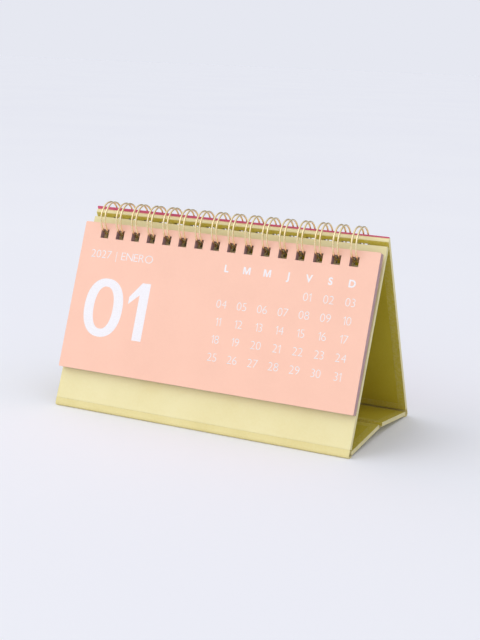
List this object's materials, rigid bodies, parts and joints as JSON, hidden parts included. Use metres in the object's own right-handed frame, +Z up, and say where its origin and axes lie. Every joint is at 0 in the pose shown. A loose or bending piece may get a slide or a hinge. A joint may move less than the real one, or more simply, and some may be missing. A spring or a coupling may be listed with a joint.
{
  "type": "desk calendar",
  "caption": "Tent-shaped standing desk calendar: wrapped board easel, a pad of month leaves on a twin-loop wire, and a title leaf turned over behind.",
  "frame": {"origin": "on the table, under the middle of the footprint", "axes": "+X to the viewer's right along the binding, +Y to the rear, +Z up"},
  "size_m": [0.1506, 0.0767, 0.0956],
  "materials": {
    "greyboard": "matte",
    "cover_paper": "matte",
    "lining": "matte",
    "wire": "satin",
    "leaf": "matte",
    "title": "matte"
  },
  "bodies": {
    "easel_front": {"front_board": "greyboard", "front_cover_paper": "cover_paper", "front_lining": "lining", "front_crease": "cover_paper", "binding_wire": "wire"},
    "easel_rear": {"rear_board": "greyboard", "rear_cover_paper": "cover_paper", "rear_lining": "lining", "rear_crease": "cover_paper"},
    "base_front": {"base_front_board": "greyboard", "base_front_cover_paper": "cover_paper", "base_front_lining": "lining", "middle_crease": "cover_paper"},
    "base_rear": {"base_rear_board": "greyboard", "base_rear_cover_paper": "cover_paper", "base_rear_lining": "lining"},
    "leaf_01": {"leaf_01": "leaf"},
    "leaf_02": {"leaf_02": "leaf"},
    "leaf_03": {"leaf_03": "leaf"},
    "leaf_04": {"leaf_04": "leaf"},
    "leaf_05": {"leaf_05": "leaf"},
    "leaf_06": {"leaf_06": "leaf"},
    "leaf_07": {"leaf_07": "leaf"},
    "leaf_08": {"leaf_08": "leaf"},
    "leaf_09": {"leaf_09": "leaf"},
    "leaf_10": {"leaf_10": "leaf"},
    "leaf_11": {"leaf_11": "leaf"},
    "leaf_12": {"leaf_12": "leaf"},
    "title_leaf": {"title_leaf": "title"}
  },
  "joints": [
    {"name": "easel_fold", "type": "hinge", "parent": "easel_front", "child": "easel_rear", "pos_m": [0, -0.00856, 0.08752], "axis": [-1, 0, 0], "range_deg": [0, 11]},
    {"name": "base_front_fold", "type": "hinge", "parent": "easel_front", "child": "base_front", "pos_m": [0, -0.03578, 0.00266], "axis": [1, 0, 0], "range_deg": [0, 30.25], "deforming": ["middle_crease"]},
    {"name": "base_rear_fold", "type": "hinge", "parent": "easel_rear", "child": "base_rear", "pos_m": [0, 0.03552, 0.00268], "axis": [-1, 0, 0], "range_deg": [0, 34]},
    {"name": "leaf_12_turn", "type": "hinge", "parent": "easel_front", "child": "leaf_12", "pos_m": [0, -0.00856, 0.08752], "axis": [-1, 0, 0], "range_deg": [0, 180]},
    {"name": "leaf_11_turn", "type": "hinge", "parent": "leaf_12", "child": "leaf_11", "pos_m": [0, -0.00856, 0.08752], "axis": [-1, 0, 0], "range_deg": [0, 180]},
    {"name": "leaf_10_turn", "type": "hinge", "parent": "leaf_11", "child": "leaf_10", "pos_m": [0, -0.00856, 0.08752], "axis": [-1, 0, 0], "range_deg": [0, 180]},
    {"name": "leaf_09_turn", "type": "hinge", "parent": "leaf_10", "child": "leaf_09", "pos_m": [0, -0.00856, 0.08752], "axis": [-1, 0, 0], "range_deg": [0, 180]},
    {"name": "leaf_08_turn", "type": "hinge", "parent": "leaf_09", "child": "leaf_08", "pos_m": [0, -0.00856, 0.08752], "axis": [-1, 0, 0], "range_deg": [0, 180]},
    {"name": "leaf_07_turn", "type": "hinge", "parent": "leaf_08", "child": "leaf_07", "pos_m": [0, -0.00856, 0.08752], "axis": [-1, 0, 0], "range_deg": [0, 180]},
    {"name": "leaf_06_turn", "type": "hinge", "parent": "leaf_07", "child": "leaf_06", "pos_m": [0, -0.00856, 0.08752], "axis": [-1, 0, 0], "range_deg": [0, 180]},
    {"name": "leaf_05_turn", "type": "hinge", "parent": "leaf_06", "child": "leaf_05", "pos_m": [0, -0.00856, 0.08752], "axis": [-1, 0, 0], "range_deg": [0, 180]},
    {"name": "leaf_04_turn", "type": "hinge", "parent": "leaf_05", "child": "leaf_04", "pos_m": [0, -0.00856, 0.08752], "axis": [-1, 0, 0], "range_deg": [0, 180]},
    {"name": "leaf_03_turn", "type": "hinge", "parent": "leaf_04", "child": "leaf_03", "pos_m": [0, -0.00856, 0.08752], "axis": [-1, 0, 0], "range_deg": [0, 180]},
    {"name": "leaf_02_turn", "type": "hinge", "parent": "leaf_03", "child": "leaf_02", "pos_m": [0, -0.00856, 0.08752], "axis": [-1, 0, 0], "range_deg": [0, 180]},
    {"name": "leaf_01_turn", "type": "hinge", "parent": "leaf_02", "child": "leaf_01", "pos_m": [0, -0.00856, 0.08752], "axis": [-1, 0, 0], "range_deg": [0, 180]},
    {"name": "title_leaf_turn", "type": "hinge", "parent": "easel_rear", "child": "title_leaf", "pos_m": [0, -0.00856, 0.08752], "axis": [-1, 0, 0], "range_deg": [-150, 0]}
  ],
  "couplings": [
    {"joint": "base_front_fold", "follows": "easel_fold", "ratio": 2.75},
    {"joint": "base_rear_fold", "follows": "easel_fold", "ratio": 3.0909}
  ]
}
